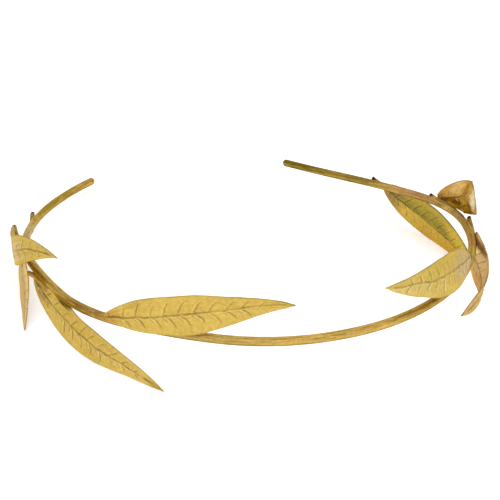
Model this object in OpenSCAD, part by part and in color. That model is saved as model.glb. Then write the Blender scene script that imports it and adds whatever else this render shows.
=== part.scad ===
// Laurel wreath crown: an open ring of bent rod with eight chased leaves soldered to it.
// Millimetres. The front faces -Y, +Z is up, and the wreath rests on the tips of three leaves.

/* [Rod] */
// Thickness of the round rod
rod_d = 2.6; // [2:0.1:4]
// Length of the left arm, from the middle of the front to its end
left_arm = 200; // [185:1:215]
// Length of the right arm, from the middle of the front to its end
right_arm = 208; // [193:1:223]
// Flat sides that stand for the round of the rod
rod_sides = 10; // [8:1:14]

/* [Leaves] */
// Length of a leaf, from its root to its tip
leaf_l = 60; // [50:1:68]
// Width of a leaf at its widest place
leaf_w = 12; // [9:0.5:14]
// Thickness of the sheet that the leaves are cut from
sheet_t = 0.7; // [0.5:0.1:1.2]
// How far the rim and point of a leaf are thinned, as a share of the sheet's thickness
rim_thinning = 0.4; // [0:0.1:0.6]
// Half width of the blunt point of a leaf
point_r = 0.3; // [0.2:0.1:0.8]

/* [Veins] */
// Side veins on each half of a leaf
vein_count = 11; // [6:1:12]
// Depth of the chased side veins
vein_depth = 0.25; // [0.1:0.05:0.4]
// Width of a chased side vein
vein_w = 0.8; // [0.4:0.1:1.2]
// Angle between a side vein and the middle vein
vein_angle = 60; // [45:1:75]
// Depth of the middle vein
rib_depth = 0.35; // [0.1:0.05:0.5]
// Width of the middle vein
rib_w = 1; // [0.6:0.1:1.6]

/* [Stems] */
// Thickness of a leaf's stem
stem_d = 1.7; // [1.2:0.1:2.4]
// Length of stem that is soldered along the rod, forward from the leaf's root
stem_l = 11; // [7:0.5:16]
// Usual length of the cut twig end that stands back from a leaf's root
twig_l = 5; // [3:0.5:8]
// Angle at which the cut twig end turns away from the rod
twig_turn = 12; // [2:1:20]
// How deep the solder lets a stem sink into the rod
solder_bite = 0.25; // [0.1:0.05:0.5]

/* [Hidden] */

rod_gold = "#C9A44C";
leaf_gold = "#D9BC62";
stem_gold = "#B48C3E";

// Turn of the rod, in degrees, over each equal stretch of an arm, from the front backwards
LEFT_TURNS = [32.5, 14, 30.5, 7.5, 23, 16, 12];
RIGHT_TURNS = [27, 20, 15, 18, 38, 8, -4];
turn_steps = 5;

// Columns of the table of leaves. SIDE is -1 on the left arm and 1 on the right. PLACE is the
// root's distance from the front as a share of the arm. SEAT is the angle round the rod at which
// the stem lies, from 0 outside to 90 on top. SPLAY is the gap that the root leaves to the rod, as a
// share of leaf_w. TWIG is the cut end's length as a share of twig_l, and TURN the angle round the rod
// towards which it turns. LONG and WIDE are shares of leaf_l and leaf_w. WIDEST is the share of the
// length at which the leaf is widest. FOLD is the angle at which each half rises from the middle vein.
SIDE = 0;
PLACE = 1;
SEAT = 2;
SPLAY = 3;
TWIG = 4;
TURN = 5;
LONG = 6;
WIDE = 7;
WIDEST = 8;
FOLD = 9;
BENDS = 10;

// Columns of a leaf's bends, after the share of its length: swing outwards, rise and roll in degrees
SWING = 1;
RISE = 2;
ROLL = 3;

LEAVES = [
    [-1, 0.317, 30, 0, 0.5, 40, 0.99, 1.07, 0.47, 6,
        [[0, -3, 11, 99], [0.5, -14, 15, 104], [1, -45, 0, 123]]],
    [-1, 0.539, -63, 0, 0.9, -30, 1.01, 0.92, 0.4, 6,
        [[0, -17, -34, 80], [0.3, -16, -21, 84], [0.5, -13, -5, 83], [1, -61, -36, 88]]],
    [-1, 0.697, 37, 0.25, 0.2, 37, 1, 0.88, 0.43, 6,
        [[0, -9, 10, 81], [0.5, -7, 5, 95], [0.6, -29, 22, 87], [1, -44, -1, 88]]],
    [-1, 0.751, -77, 0, 2.6, 10, 0.87, 0.81, 0.48, 6,
        [[0, 2, -16, 59], [0.5, -17, -10, 75], [1, -7, -26, 65]]],
    [1, 0.376, 82, 0, 0.1, 90, 1.1, 0.96, 0.46, 6,
        [[0, -2, 11, 70], [0.5, -8, 10, 78], [1, -36, 11, 99]]],
    [1, 0.519, -40, 0, 2.1, 70, 0.85, 0.98, 0.34, 6,
        [[0, -15, -5, 105], [0.4, 8, -18, 103], [0.7, -24, -5, 102], [1, -36, -5, 89]]],
    [1, 0.679, 5, 0, 0.4, -40, 0.88, 0.95, 0.38, 12,
        [[0, 8, 20, 78], [0.46, -44, 18, 101], [0.53, -35, 10, 97], [1, -38, 2, 91]]],
    [1, 0.793, -20, 0, 0.6, 90, 0.9, 1.03, 0.38, 6,
        [[0, -4, -24, 95], [0.4, -10, -17, 88], [1, -30, -17, 89]]],
];
// Rows of LEAVES on whose hanging leaves the wreath rests
RESTING = [1, 3, 7];

// Steps along a leaf's middle line, and the shares of its length that bound its veins
leaf_steps = 40;
first_vein = 0.08;
last_vein = 0.86;
root_row = 0.025;
tip_rows = [0.93, 0.97, 1];
// Place across each half of the leaf, as a share of its half width, where the sheet bends
half_across = 0.55;
settle_rounds = 5;

// Radius of a stem at its cut end, at the leaf's root, midway and at its foot, as shares of stem_d
CUT_R = 0.45;
ROOT_R = 0.5;
MIDDLE_R = 0.45;
FOOT_R = 0.3;
stem_facets = 8;

seat_r = (rod_d + stem_d) / 2 - solder_bite;
// A leaf lies on the outer side of its stem, sunk as deep in the solder
blade_lift = stem_d / 2 - solder_bite;

// Small helpers
function unit(v) = v / norm(v);
function column(table, c) = [for (row = table) [row[0], row[c]]];
function between(path, share) =
    let (n = len(path) - 1, f = min(max(share, 0), 1) * n, i = min(floor(f), n - 1))
    path[i] + (path[i + 1] - path[i]) * (f - i);

// Heading of an arm after each small step, in degrees turned from the front
function arm_headings(turns) =
    let (steps = len(turns) * turn_steps)
    [for (i = 0, h = 0; i <= steps; h = h + (i < steps ? turns[floor(i / turn_steps)] / turn_steps : 0),
        i = i + 1) h];

// Middle line of an arm, from the front of the rod to the arm's end
function arm_path(headings, arm_l, side) =
    let (n = len(headings) - 1, step = arm_l / n)
    [for (i = 0, p = [0, 0, 0]; i <= n;
        p = i < n ? p + step * heading_ahead((headings[i] + headings[i + 1]) / 2, side) : p,
        i = i + 1) p];
function heading_ahead(turned, side) = [side * cos(turned), sin(turned), 0];
function heading_out(turned, side) = [side * sin(turned), -cos(turned), 0];

LEFT_HEADINGS = arm_headings(LEFT_TURNS);
RIGHT_HEADINGS = arm_headings(RIGHT_TURNS);
LEFT_PATH = arm_path(LEFT_HEADINGS, left_arm, -1);
RIGHT_PATH = arm_path(RIGHT_HEADINGS, right_arm, 1);

function arm_length(side) = side < 0 ? left_arm : right_arm;
function rod_point(side, share) = between(side < 0 ? LEFT_PATH : RIGHT_PATH, share);
function rod_turn(side, share) = between(side < 0 ? LEFT_HEADINGS : RIGHT_HEADINGS, share);

// Place beside the rod: back is the distance backwards from the leaf's root, gap the distance from
// the seat's surface
function beside_rod(leaf, back, gap) =
    let (side = leaf[SIDE], share = leaf[PLACE] + back / arm_length(side))
    rod_point(side, share) + (seat_r + gap) * round_rod(side, share, leaf[SEAT]);
function round_rod(side, share, angle) =
    cos(angle) * heading_out(rod_turn(side, share), side) + [0, 0, sin(angle)];

function splay_gap(leaf) = leaf[SPLAY] * leaf_w;
function leaf_root(leaf) = beside_rod(leaf, 0, splay_gap(leaf) + blade_lift);

// Direction of a leaf's middle line, and across and square to its face, at a share of its length
function leaf_axes(leaf, share) =
    let (
        turned = rod_turn(leaf[SIDE], leaf[PLACE]),
        fore = -heading_ahead(turned, leaf[SIDE]),
        out = heading_out(turned, leaf[SIDE]),
        swing = lookup(share, column(leaf[BENDS], SWING)),
        rise = lookup(share, column(leaf[BENDS], RISE)),
        roll = lookup(share, column(leaf[BENDS], ROLL)),
        level = cos(swing) * fore + sin(swing) * out,
        side = cos(swing) * out - sin(swing) * fore,
        top = [0, 0, cos(rise)] - sin(rise) * level
    )
    [cos(rise) * level + [0, 0, sin(rise)], cos(roll) * side - sin(roll) * top, cos(roll) * top + sin(roll) * side];

function leaf_middle(leaf) =
    let (step = leaf[LONG] * leaf_l / leaf_steps)
    [for (i = 0, p = leaf_root(leaf); i <= leaf_steps;
        p = p + step * leaf_axes(leaf, (i + 0.5) / leaf_steps)[0], i = i + 1) p];

// Half width of a leaf at a share of its length: it swells to WIDEST and tapers to the point
function half_width(leaf, share) =
    let (w = leaf[WIDEST], s = min(max(share, 0), 1))
    max(point_r, leaf[WIDE] * leaf_w / 2 * pow(s / w, w / (1 - w)) * (1 - s) / (1 - w));

// Rows along the leaf: the root, three rows to each side vein, and the point. The second number is
// 1 in the floor of a vein
function leaf_rows(leaf) =
    let (half_vein = vein_w / 2 / (leaf[LONG] * leaf_l), pitch = (last_vein - first_vein) / (vein_count - 1))
    concat(
        [[0, 0], [root_row, 0]],
        [for (v = [0 : vein_count - 1], k = [-1 : 1]) [first_vein + v * pitch + k * half_vein, k == 0 ? 1 : 0]],
        [for (s = tip_rows) [s, 0]]
    );

// One closed loop round the leaf: seven places across its chased face, then five back behind it
function leaf_loop(leaf, middle, row) =
    let (
        rib = min(rib_w / 2 / half_width(leaf, row[0]), half_across / 2),
        face_places = leaf[SIDE] * [-1, -half_across, -rib, 0, rib, half_across, 1],
        back_places = leaf[SIDE] * [1, half_across, 0, -half_across, -1]
    )
    concat(
        [for (t = face_places) leaf_place(leaf, middle, row, t, 1)],
        [for (t = back_places) leaf_place(leaf, middle, row, t, -1)]
    );

// A point of the leaf: side veins run forward from the middle vein, so a place further across lies
// further along
function leaf_place(leaf, middle, row, t, face) =
    let (
        lead = abs(t) * half_width(leaf, row[0]) / tan(vein_angle) / (leaf[LONG] * leaf_l),
        share = min(row[0] + lead * (1 - row[0]), 1),
        width = half_width(leaf, share),
        axes = leaf_axes(leaf, share),
        thick = sheet_t * (1 - rim_thinning * max(pow(t, 4), pow(share, 12))),
        chased = t == 0 ? rib_depth : (abs(t) < 1 ? row[1] * vein_depth : 0),
        relief = width > 2 * point_r ? chased : 0
    )
    between(middle, share)
        + t * width * cos(leaf[FOLD]) * axes[1]
        + (abs(t) * width * sin(leaf[FOLD]) - relief + face * thick / 2) * axes[2];

function leaf_loops(leaf) =
    let (middle = leaf_middle(leaf))
    [for (row = leaf_rows(leaf)) leaf_loop(leaf, middle, row)];

// Loops of the rod, from the end of the left arm round the front to the end of the right arm
function rod_loop(p, turned, side, r) =
    let (out = heading_out(turned, side))
    [for (i = [0 : rod_sides - 1]) let (a = 360 * (i + 0.5) / rod_sides)
        p + r * (cos(a) * out + [0, 0, sin(a)])];
function end_loops(path, headings, side) =
    let (n = len(path) - 1, ahead = heading_ahead(headings[n], side), r = rod_d / 2)
    [for (a = [0, 40, 70]) rod_loop(path[n] + r * sin(a) * ahead, headings[n], side, r * cos(a))];
function rod_loops() =
    let (
        left = end_loops(LEFT_PATH, LEFT_HEADINGS, -1),
        n_left = len(LEFT_PATH) - 1,
        n_right = len(RIGHT_PATH) - 1
    )
    concat(
        [for (i = [len(left) - 1 : -1 : 0]) left[i]],
        [for (i = [n_left - 1 : -1 : 1]) rod_loop(LEFT_PATH[i], LEFT_HEADINGS[i], -1, rod_d / 2)],
        [for (i = [0 : n_right - 1]) rod_loop(RIGHT_PATH[i], RIGHT_HEADINGS[i], 1, rod_d / 2)],
        end_loops(RIGHT_PATH, RIGHT_HEADINGS, 1)
    );

// Plane that the wreath stands on: the lowest points of the three resting leaves, found again until
// they agree with the plane that they give
function lowest(points, down) =
    let (depths = [for (p = points) p * down], deepest = max(depths))
    points[search(deepest, depths)[0]];
function plane_down(a, b, c) =
    let (n = unit(cross(b - a, c - a)))
    n[2] < 0 ? n : -n;
function settle(sets, down, rounds) =
    rounds < 1 ? down
    : let (feet = [for (s = sets) lowest(s, down)])
        settle(sets, plane_down(feet[0], feet[1], feet[2]), rounds - 1);

function flat(loops) = [for (loop = loops, p = loop) p];
RESTING_POINTS = [for (i = RESTING) flat(leaf_loops(LEAVES[i]))];
DOWN = settle(RESTING_POINTS, [0, 0, -1], settle_rounds);
ACROSS = unit(cross([0, 1, 0], -DOWN));
AHEAD = cross(-DOWN, ACROSS);
function stood(p) = [p * ACROSS, p * AHEAD, -p * DOWN];

// The origin lies under the middle of the standing wreath, on what it rests on
STOOD = [for (p = concat(flat(rod_loops()), flat([for (leaf = LEAVES) flat(leaf_loops(leaf))]))) stood(p)];
function middle_of(values) = (max(values) + min(values)) / 2;
ORIGIN = [middle_of([for (p = STOOD) p[0]]), middle_of([for (p = STOOD) p[1]]), min([for (p = STOOD) p[2]])];

// Solid skin over a list of loops that all have as many points
module skin(loops) {
    rows = len(loops);
    sides = len(loops[0]);
    walls = [for (j = [0 : rows - 2], i = [0 : sides - 1])
        let (a = j * sides + i, b = j * sides + (i + 1) % sides)
        each [[a, b, b + sides], [a, b + sides, a + sides]]];
    start_cap = [for (i = [1 : sides - 2]) [0, i + 1, i]];
    last = (rows - 1) * sides;
    end_cap = [for (i = [1 : sides - 2]) [last, last + i, last + i + 1]];
    polyhedron(points = flat(loops), faces = concat(walls, start_cap, end_cap));
}

module rod() {
    color(rod_gold) skin(rod_loops());
}

module leaf(row) {
    color(leaf_gold) skin(leaf_loops(row));
}

// The stem is soldered along the rod ahead of the root, where it thins and sinks into the rod, and
// its cut end stands back from the rod
module stem(row) {
    gap = splay_gap(row);
    back = row[TWIG] * twig_l;
    sunk = (FOOT_R - ROOT_R) * stem_d;
    root = beside_rod(row, 0, gap);
    middle = beside_rod(row, -stem_l / 2, (gap + sunk) / 2);
    foot = beside_rod(row, -stem_l, sunk);
    turned = round_rod(row[SIDE], row[PLACE], row[TURN]);
    cut = beside_rod(row, back, gap) + back * tan(twig_turn) * turned;
    color(stem_gold) {
        joined(cut, root, CUT_R * stem_d, ROOT_R * stem_d);
        joined(root, middle, ROOT_R * stem_d, MIDDLE_R * stem_d);
        joined(middle, foot, MIDDLE_R * stem_d, FOOT_R * stem_d);
    }
}

module joined(a, b, r_a, r_b) {
    hull() {
        translate(a) sphere(r_a, $fn = stem_facets);
        translate(b) sphere(r_b, $fn = stem_facets);
    }
}

module laurel_wreath() {
    translate(-ORIGIN) multmatrix([
        [ACROSS[0], ACROSS[1], ACROSS[2], 0],
        [AHEAD[0], AHEAD[1], AHEAD[2], 0],
        [-DOWN[0], -DOWN[1], -DOWN[2], 0],
        [0, 0, 0, 1]
    ]) union() {
        rod();
        for (row = LEAVES) {
            leaf(row);
            stem(row);
        }
    }
}

laurel_wreath();
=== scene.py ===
"""Looks of an open laurel wreath: a bent rod of gilded brass with eight chased leaves soldered to it.

Every length is in millimetres until a mesh is made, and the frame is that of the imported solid: the
front faces -Y, +Z is up, and the wreath rests on the tips of three hanging leaves.
"""

import logging
import math
from dataclasses import dataclass, field
from enum import Enum

import bpy
import numpy as np
from mathutils import Matrix, Vector


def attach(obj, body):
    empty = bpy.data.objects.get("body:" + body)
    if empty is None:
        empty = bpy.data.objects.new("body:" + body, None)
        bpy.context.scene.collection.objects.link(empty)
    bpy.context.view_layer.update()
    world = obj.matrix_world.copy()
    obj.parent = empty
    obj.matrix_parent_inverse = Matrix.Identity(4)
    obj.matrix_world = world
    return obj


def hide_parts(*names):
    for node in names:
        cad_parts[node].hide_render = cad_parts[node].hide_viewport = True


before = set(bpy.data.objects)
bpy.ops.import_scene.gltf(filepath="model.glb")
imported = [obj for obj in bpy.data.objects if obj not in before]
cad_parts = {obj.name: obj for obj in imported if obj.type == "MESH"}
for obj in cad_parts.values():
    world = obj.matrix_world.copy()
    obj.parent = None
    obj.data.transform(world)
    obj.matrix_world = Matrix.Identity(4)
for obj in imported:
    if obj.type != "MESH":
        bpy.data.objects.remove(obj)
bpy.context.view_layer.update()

LOG = logging.getLogger("laurel_wreath")
NODE = "laurel_wreath"
BODY = "root"
MM = 0.001
UP = np.array([0.0, 0.0, 1.0])
NOISE_KNOTS = 4096


class Side(Enum):
    """The two arms of the open rod, with the sign that mirrors one to the other."""

    LEFT = -1
    RIGHT = 1


def unit(vector: np.ndarray) -> np.ndarray:
    """Scales a vector that isn't zero to length one."""
    return vector / np.linalg.norm(vector)


def radians(degrees: float | np.ndarray) -> float | np.ndarray:
    """Turns degrees into radians, for one number or an array."""
    return np.deg2rad(degrees)


def walk(moves: np.ndarray) -> np.ndarray:
    """Points that a row of moves reaches, starting from zero."""
    return np.concatenate([np.zeros((1, 3)), np.cumsum(moves, axis=0)])


def run_lengths(line: np.ndarray) -> np.ndarray:
    """Distance of each point of a line from its first, measured along the line."""
    return np.concatenate([[0.0], np.cumsum(np.linalg.norm(np.diff(line, axis=0), axis=1))])


def read_line(places: np.ndarray, stations: np.ndarray, line: np.ndarray) -> np.ndarray:
    """Reads points at places on a line whose own points lie at the stations."""
    return np.stack([np.interp(places, stations, line[:, k]) for k in range(3)], axis=1)


def between(path: np.ndarray, share: float) -> np.ndarray:
    """Reads a path at a share of its number of steps.

    Args:
        path: Points or numbers at equal steps.
        share: Place on the path, from 0 to 1.

    Returns:
        The point or number there.
    """
    last = len(path) - 1
    place = min(max(share, 0.0), 1.0) * last
    index = min(int(place), last - 1)
    return path[index] + (path[index + 1] - path[index]) * (place - index)


def ease(part: np.ndarray) -> np.ndarray:
    """Bends an even rise from 0 to 1 so that it starts and ends gently."""
    return part * part * (3 - 2 * part)


def step_up(values: np.ndarray, start: float, end: float) -> np.ndarray:
    """Rises smoothly from 0, where the values reach start, to 1, where they reach end."""
    return ease(np.clip((values - start) / (end - start), 0.0, 1.0))


def hump(away: np.ndarray, half_width: float) -> np.ndarray:
    """Rises smoothly to 1 where the distance away is 0, and is about a third at the half width."""
    return np.exp(-((away / half_width) ** 2))


def smooth_noise(places: np.ndarray, seed: int, pitch: float) -> np.ndarray:
    """Gives a smooth random curve with a value between about -1 and 1.

    Args:
        places: Where the curve is read, in millimetres.
        seed: Picks one curve.
        pitch: Distance between the random values, in millimetres.

    Returns:
        The values of the curve.
    """
    knots = np.random.default_rng(seed).uniform(-1.0, 1.0, NOISE_KNOTS)
    place = places / pitch + NOISE_KNOTS / 2
    index = np.floor(place).astype(int)
    part = ease(place - index)
    return knots[index] * (1 - part) + knots[index + 1] * part


@dataclass(frozen=True)
class Ripple:
    """A slight random unevenness: how strong it is, and how far apart its random values are, in mm."""

    strength: float
    pitch: float

    def at(self, places: np.ndarray, seed: int) -> np.ndarray:
        """Reads the unevenness at places in millimetres, where the seed picks one of many."""
        return self.strength * smooth_noise(places, seed, self.pitch)


def linear(hex_colour: str) -> tuple[float, float, float, float]:
    """Turns an sRGB hex colour to the linear values that the shader takes, by the sRGB curve.

    Args:
        hex_colour: Such as #D9BC62.

    Returns:
        Red, green, blue and an alpha of 1.
    """
    channels = [int(hex_colour[k:k + 2], 16) / 255 for k in (1, 3, 5)]
    values = [c / 12.92 if c <= 0.04045 else ((c + 0.055) / 1.055) ** 2.4 for c in channels]
    return values[0], values[1], values[2], 1.0


def rgb(hex_colour: str) -> np.ndarray:
    """Gives the linear red, green and blue of an sRGB hex colour."""
    return np.array(linear(hex_colour)[:3])


def blend(first: np.ndarray, second: np.ndarray, share: np.ndarray) -> np.ndarray:
    """Mixes a share of the second colour into the first, point by point."""
    part = np.clip(np.asarray(share, dtype=float), 0.0, 1.0)[..., None]
    return first * (1 - part) + second * part


def put_in_scene(name: str, data: bpy.types.ID) -> bpy.types.Object:
    """Makes an object of a mesh, a light or a camera and adds it to the scene.

    Args:
        name: The object's name.
        data: What it holds.

    Returns:
        The object.
    """
    thing = bpy.data.objects.new(name, data)
    bpy.context.scene.collection.objects.link(thing)
    return thing


@dataclass(frozen=True)
class Arm:
    """One arm of the rod, bent in equal stretches, by so many degrees each, from the front backwards."""

    side: Side
    length: float
    turns: tuple[float, ...]
    turn_steps: int = 5

    def headings(self) -> np.ndarray:
        """Heading after each small step, in degrees turned from the front."""
        small = [turn / self.turn_steps for turn in self.turns for _ in range(self.turn_steps)]
        return np.concatenate([[0.0], np.cumsum(small)])

    def ahead(self, turned: float) -> np.ndarray:
        """Direction of the arm, away from the front, where it has turned so far."""
        angle = radians(turned)
        return np.array([self.side.value * math.cos(angle), math.sin(angle), 0.0])

    def out(self, turned: float) -> np.ndarray:
        """Direction square to the arm, out of the ring, where it has turned so far."""
        angle = radians(turned)
        return np.array([self.side.value * math.sin(angle), -math.cos(angle), 0.0])

    def path(self) -> np.ndarray:
        """Middle line of the arm, from the front of the rod to the arm's end.

        Returns:
            Points at the ends of the small steps.
        """
        headings = self.headings()
        step = self.length / (len(headings) - 1)
        halfway = (headings[:-1] + headings[1:]) / 2
        return walk(np.array([step * self.ahead(turned) for turned in halfway]))

    def point(self, share: float) -> np.ndarray:
        """Point of the middle line at a share of the arm."""
        return between(self.path(), share)

    def turn(self, share: float) -> float:
        """Degrees that the arm has turned at a share of its length."""
        return float(between(self.headings(), share))

    def round_rod(self, share: float, angle: float) -> np.ndarray:
        """Direction square to the rod at a share of the arm, from 0 degrees outside to 90 on top."""
        outward = self.out(self.turn(share))
        return math.cos(radians(angle)) * outward + math.sin(radians(angle)) * UP


ARMS = {
    Side.LEFT: Arm(Side.LEFT, 200.0, (32.5, 14.0, 30.5, 7.5, 23.0, 16.0, 12.0)),
    Side.RIGHT: Arm(Side.RIGHT, 208.0, (27.0, 20.0, 15.0, 18.0, 38.0, 8.0, -4.0)),
}
# Thickness of the rod and of a stem, and how deep the solder lets one sink into the other
ROD_D = 2.6
STEM_D = 1.7
SOLDER_BITE = 0.25
# From the rod's middle to a stem's, and from a stem's middle to its leaf's
SEAT_R = (ROD_D + STEM_D) / 2 - SOLDER_BITE
BLADE_LIFT = STEM_D / 2 - SOLDER_BITE


@dataclass(frozen=True)
class Bend:
    """How a leaf lies at a share of its length: swing outwards, rise and roll, in degrees."""

    share: float
    swing: float
    rise: float
    roll: float


@dataclass(frozen=True)
class Cut:
    """How the shears strayed from a leaf's drawn outline: shares of its upper and lower half widths."""

    share: float
    upper: float
    lower: float


# Squares of the share of its reach up to which a stain is whole and past which it is gone, and how
# strongly the noise frays its edge
STAIN_WHOLE = 0.2
STAIN_GONE = 1.6
STAIN_RAGGED = 0.7


@dataclass(frozen=True)
class Stain:
    """A cloudy patch of another colour: its middle, how far it reaches and how strong it is.

    Along a leaf the place runs from 0 at the root to 1 at the tip, and across it from -1 at the upper
    rim to 1 at the lower. Along the rod it runs from -1 at the left end to 1 at the right, and across
    it is the angle round the rod over 180 degrees, 0 outside and 0.5 on top.
    """

    colour: str
    place: float
    across: float
    long: float
    wide: float
    strength: float

    def weight(self, places: np.ndarray, across: np.ndarray, ragged: np.ndarray) -> np.ndarray:
        """How much of the stain lies at each place, where ragged makes its edge uneven."""
        far = ((places - self.place) / self.long) ** 2 + ((across - self.across) / self.wide) ** 2
        return self.strength * step_up(STAIN_RAGGED * ragged - far, -STAIN_GONE, -STAIN_WHOLE)


@dataclass(frozen=True)
class Tint:
    """Colours of one leaf's gilding, as sRGB hex: its two halves, its lips' painted highlight, its grooves
    and its back.
    """

    upper: str
    lower: str
    # Colour of the painted highlight on the chased lips
    wear_and_sheen: str
    groove: str
    back: str
    back_share: float  # how far the back takes its own colour
    stains: tuple[Stain, ...]


@dataclass(frozen=True)
class LeafPlan:
    """One leaf of the wreath: where its root sits and how it is cut, folded and bent."""

    name: str
    side: Side
    place: float  # the root's distance from the front, as a share of the arm
    seat: float  # angle round the rod at which the stem lies, from 0 outside to 90 on top
    splay: float  # gap that the root leaves to the rod, as a share of leaf_w
    twig: float  # length of the cut end, as a share of twig_l
    turn: float  # angle round the rod towards which the cut end turns
    long: float  # length, as a share of leaf_l
    wide: float  # width, as a share of leaf_w
    widest: float  # share of the length at which the leaf is widest
    fold: float  # angle at which each half rises from the middle vein
    tint: Tint
    bends: tuple[Bend, ...]
    cuts: tuple[Cut, ...]
    rests: bool = False  # whether the wreath stands on this leaf's tip
    bare: float = 0.02  # share of the sheet that the solder hides at the root
    nub: float = 0.0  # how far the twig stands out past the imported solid's cut end
    lean: float = 0.0  # angle round the rod from the twig's turn to where its nub rises
    soot: float = 0.95  # how dark the cut end is
    lip: float = 0.65  # share of the half width at which the lower side veins' bright lips end


# A stain's columns are its colour, place, across, long, wide and strength
YELLOW = Tint(
    upper="#CCAE58", lower="#CAAC56", wear_and_sheen="#F4DC90", groove="#84642A", back="#A07A34",
    back_share=0.7, stains=(
        Stain("#A87E36", 0.02, 0.0, 0.1, 1.4, 0.7),
        Stain("#A8863C", 0.22, -0.75, 0.05, 0.2, 0.4),
        Stain("#DCC06A", 0.9, 0.3, 0.12, 0.8, 0.2),
    ))
WARM = Tint(
    upper="#CEB05E", lower="#CEB05C", wear_and_sheen="#F4E09A", groove="#7A5C26", back="#A07A34",
    back_share=0.7, stains=(
        Stain("#94743A", 0.03, 0.0, 0.12, 1.2, 0.8),
        Stain("#BC9E48", 0.5, -0.6, 0.3, 0.3, 0.5),
        # Painted shadow: the black gap where the upper rim meets the rod
        Stain("#2A1804", 0.25, -1.0, 0.08, 0.29, 1.0),
        Stain("#A07A2C", 0.97, 0.0, 0.05, 1.0, 0.6),
    ))
SIDE = Tint(
    upper="#BEA55C", lower="#C6A858", wear_and_sheen="#E8DA9C", groove="#8C6C2E", back="#A98F58",
    back_share=0.7, stains=(
        Stain("#CDBEA0", 0.25, 0.0, 0.36, 1.5, 0.9),
    ))
PINKISH = Tint(
    upper="#DCC48E", lower="#D4B680", wear_and_sheen="#ECD8AA", groove="#7E5E30", back="#B0925C",
    back_share=0.7, stains=(
        Stain("#BE9C66", 0.15, 0.0, 0.2, 1.4, 0.6),
    ))
OLIVE = Tint(
    upper="#B69C42", lower="#CAA84A", wear_and_sheen="#DCB858", groove="#5A4E1A", back="#A8873C",
    back_share=0.0, stains=(
        Stain("#8E744A", 0.06, 0.0, 0.12, 1.2, 0.9),
        Stain("#8C7E38", 0.42, -0.35, 0.3, 0.35, 0.6),
        Stain("#6E6A2E", 0.3, -0.15, 0.12, 0.15, 0.5),
        Stain("#6E6A2E", 0.58, -0.2, 0.1, 0.2, 0.5),
        Stain("#CEB04A", 0.72, -0.6, 0.1, 0.4, 0.7),
        Stain("#CEA440", 0.78, 0.5, 0.2, 0.4, 0.6),
    ))
PALE_GREEN = Tint(
    upper="#C4AC5E", lower="#CEB468", wear_and_sheen="#FFF4BC", groove="#8E7038", back="#B0935A",
    back_share=0.7, stains=(
        Stain("#C4B094", 0.08, 0.0, 0.28, 1.5, 0.9),
        Stain("#BCA55C", 0.38, -0.5, 0.2, 0.5, 0.25),
    ))
ROSE_BROWN = Tint(
    upper="#C8A878", lower="#C6A46C", wear_and_sheen="#E4CC9C", groove="#74502A", back="#B28C56",
    back_share=0.0, stains=(
        # Painted shade: the dark hollow between the root and the rod
        Stain("#2E1A06", 0.055, -0.7, 0.02, 0.5, 0.95),
        # Painted light: a pale patch that lightens a dark reflection near the root
        Stain("#F0D8A4", 0.17, -0.5, 0.12, 0.7, 0.9),
        Stain("#B08058", 0.5, 0.5, 0.14, 0.5, 0.7),
        Stain("#D0B070", 0.85, 0.0, 0.2, 1.0, 0.6),
    ))
# The folded leaf's stains are mostly painted light and shade
FOLDED_LIT_AND_SHADED = Tint(
    upper="#B8904A", lower="#C09434", wear_and_sheen="#E8D6B4", groove="#5E3A10", back="#9A7030",
    back_share=0.0, stains=(
        # Painted highlight over the upper half
        Stain("#E2BE78", 0.25, -0.55, 0.1, 0.5, 0.8),
        # Painted shade at the sharp bend halfway along
        Stain("#94703E", 0.49, -0.55, 0.11, 0.9, 0.75),
        # Painted highlight where the far half turns edge-on
        Stain("#F0E4D0", 0.8, -0.4, 0.13, 1.0, 0.95),
        # Painted shade on the lower half near the root
        Stain("#7A5014", 0.1, 0.4, 0.07, 0.8, 0.15),
        Stain("#D8B048", 0.42, 0.45, 0.1, 0.25, 0.8),
        # Painted shade over the lower half
        Stain("#643A00", 0.7, 0.6, 0.11, 0.5, 0.95),
        # Painted shade along the lower rim
        Stain("#5E3404", 0.58, 1.0, 0.4, 0.5, 0.95),
        # Painted shade on the lower half near the root
        Stain("#6A420C", 0.22, 0.6, 0.07, 0.5, 0.8),
    ))

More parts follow.
